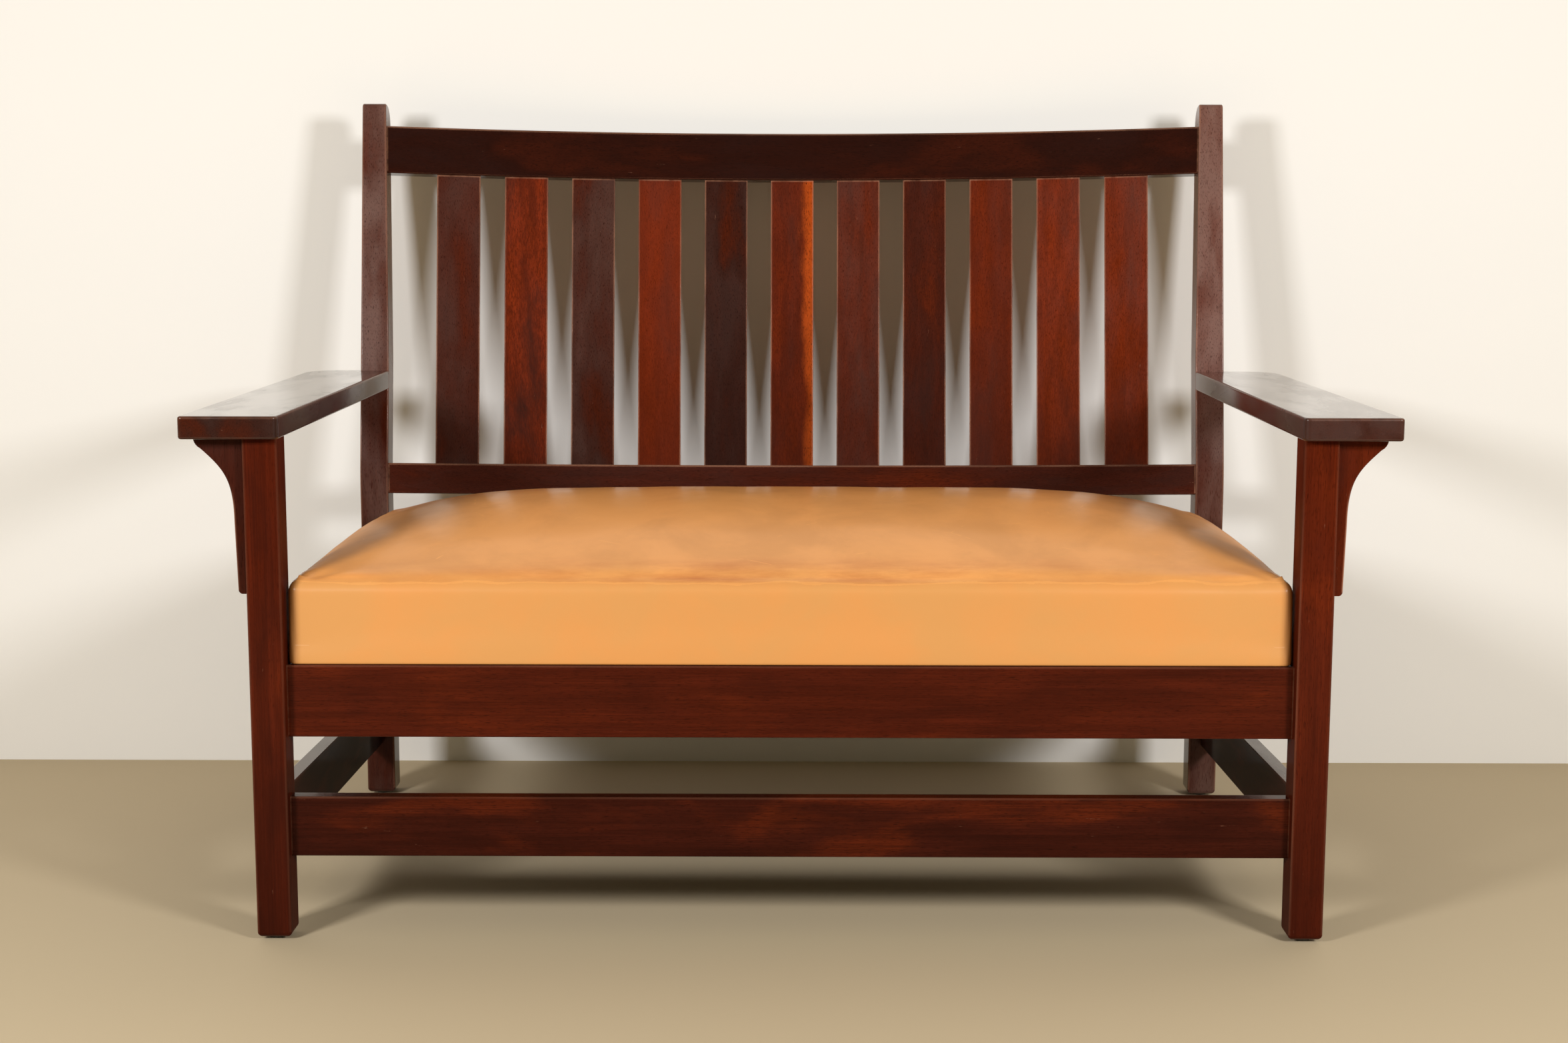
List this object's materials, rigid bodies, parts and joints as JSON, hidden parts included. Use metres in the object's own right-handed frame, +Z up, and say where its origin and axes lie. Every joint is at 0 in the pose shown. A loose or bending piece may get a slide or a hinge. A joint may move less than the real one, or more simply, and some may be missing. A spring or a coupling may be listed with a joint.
{
  "type": "mission settle",
  "caption": "Mission settle with a raked, bowed slat back, flat arms on corbels, square legs, low stretchers and a leather drop-in seat that lifts out.",
  "frame": {"origin": "on the floor, under the middle of the settle's outer box", "axes": "+X along the seat, to the right as seen from the front; +Y from the front to the back; +Z up"},
  "size_m": [1.416, 0.861, 1.0216],
  "materials": {
    "mahogany": "gloss",
    "dark_mahogany": "gloss",
    "plain_wood": "matte",
    "leather": "satin",
    "stuffing": "matte",
    "webbing": "matte",
    "dust_cloth": "matte",
    "steel": "satin",
    "glide": "matte"
  },
  "bodies": {
    "frame": {"front_leg_left": "mahogany", "front_leg_right": "mahogany", "rear_post_left": "mahogany", "rear_post_right": "mahogany", "front_seat_rail": "mahogany", "rear_seat_rail": "mahogany", "side_seat_rail_left": "mahogany", "side_seat_rail_right": "mahogany", "front_stretcher": "mahogany", "side_stretcher_left": "mahogany", "side_stretcher_right": "mahogany", "crest_rail": "dark_mahogany", "lower_back_rail": "dark_mahogany", "arm_left": "mahogany", "arm_right": "mahogany", "corbel_left": "mahogany", "corbel_right": "mahogany", "corner_block_front_left": "plain_wood", "corner_block_front_right": "plain_wood", "corner_block_rear_left": "plain_wood", "corner_block_rear_right": "plain_wood", "corner_block_screws": "steel", "seat_cleat_left": "plain_wood", "seat_cleat_right": "plain_wood", "seat_cleat_rear": "plain_wood", "cleat_screws": "steel", "arm_dowels": "plain_wood", "corbel_dowels": "plain_wood", "glide_front_left": "glide", "glide_front_right": "glide", "glide_rear_left": "glide", "glide_rear_right": "glide", "back_slat_01": "mahogany", "back_slat_02": "mahogany", "back_slat_03": "mahogany", "back_slat_04": "mahogany", "back_slat_05": "mahogany", "back_slat_06": "mahogany", "back_slat_07": "mahogany", "back_slat_08": "mahogany", "back_slat_09": "mahogany", "back_slat_10": "mahogany", "back_slat_11": "mahogany"},
    "seat": {"seat_frame_front": "plain_wood", "seat_frame_rear": "plain_wood", "seat_frame_left": "plain_wood", "seat_frame_right": "plain_wood", "seat_frame_brace_left": "plain_wood", "seat_frame_brace_right": "plain_wood", "webbing_long": "webbing", "webbing_cross": "webbing", "seat_padding": "stuffing", "seat_cover": "leather", "dust_cover": "dust_cloth"}
  },
  "joints": [
    {"name": "seat_lift", "type": "slide", "parent": "frame", "child": "seat", "axis": [0, 0, 1], "range_m": [0, 0.32]}
  ]
}
